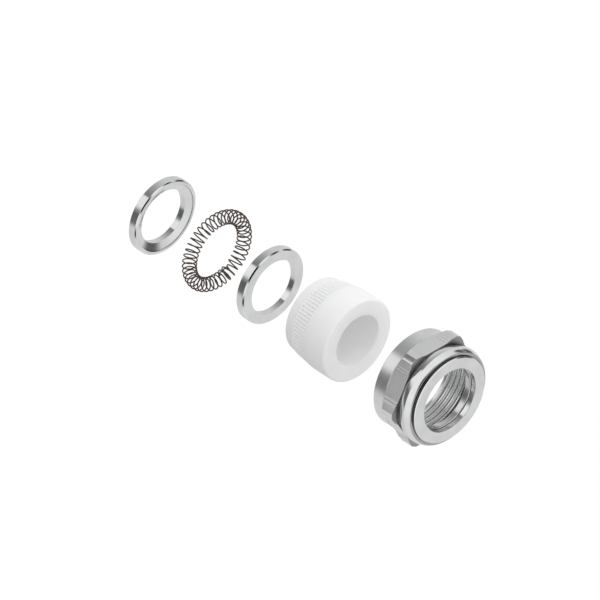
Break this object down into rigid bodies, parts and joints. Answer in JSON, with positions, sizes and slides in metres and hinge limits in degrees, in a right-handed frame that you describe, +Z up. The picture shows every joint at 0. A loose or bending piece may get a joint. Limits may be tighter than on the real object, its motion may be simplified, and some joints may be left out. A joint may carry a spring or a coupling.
{
  "type": "cable gland",
  "caption": "Shield contact and clamping set of a metal cable gland, drawn apart on its axis: contact rings, coil spring, sealing insert, slip washer and lugged cap nut.",
  "frame": {"origin": "centre of the rear contact ring's bore, in the plane of that ring's rear face, which seats in the housing", "axes": "+X along the gland's axis, from the housing towards the cable outlet; +Z up; two of the nut's six flats face +Z and -Z"},
  "size_m": [0.1062, 0.0308, 0.0276],
  "materials": {
    "ring_metal": "nickel plated over turned brass, satin",
    "spring_wire": "dark drawn wire, semi-gloss",
    "insert_polymer": "moulded, matte white",
    "washer_metal": "nickel plated, satin",
    "nut_metal": "nickel plated over turned brass, bright"
  },
  "bodies": {
    "rear_ring": {"rear_contact_ring": "ring_metal"},
    "spring": {"contact_spring": "spring_wire"},
    "front_ring": {"front_contact_ring": "ring_metal"},
    "insert": {"sealing_insert": "insert_polymer"},
    "washer": {"slip_washer": "washer_metal"},
    "nut": {"cap_nut": "nut_metal"}
  },
  "joints": [
    {"name": "spring_slide", "type": "slide", "parent": "rear_ring", "child": "spring", "axis": [-1, 0, 0], "range_m": [0, 0.0163]},
    {"name": "front_ring_slide", "type": "slide", "parent": "spring", "child": "front_ring", "axis": [-1, 0, 0], "range_m": [0, 0.01565]},
    {"name": "insert_slide", "type": "slide", "parent": "front_ring", "child": "insert", "axis": [-1, 0, 0], "range_m": [0, 0.0147]},
    {"name": "washer_slide", "type": "slide", "parent": "insert", "child": "washer", "axis": [-1, 0, 0], "range_m": [0, 0.0301]},
    {"name": "nut_turn", "type": "hinge", "parent": "washer", "child": "nut", "pos_m": [0.1, 0, 0], "axis": [-1, 0, 0], "continuous": true}
  ]
}
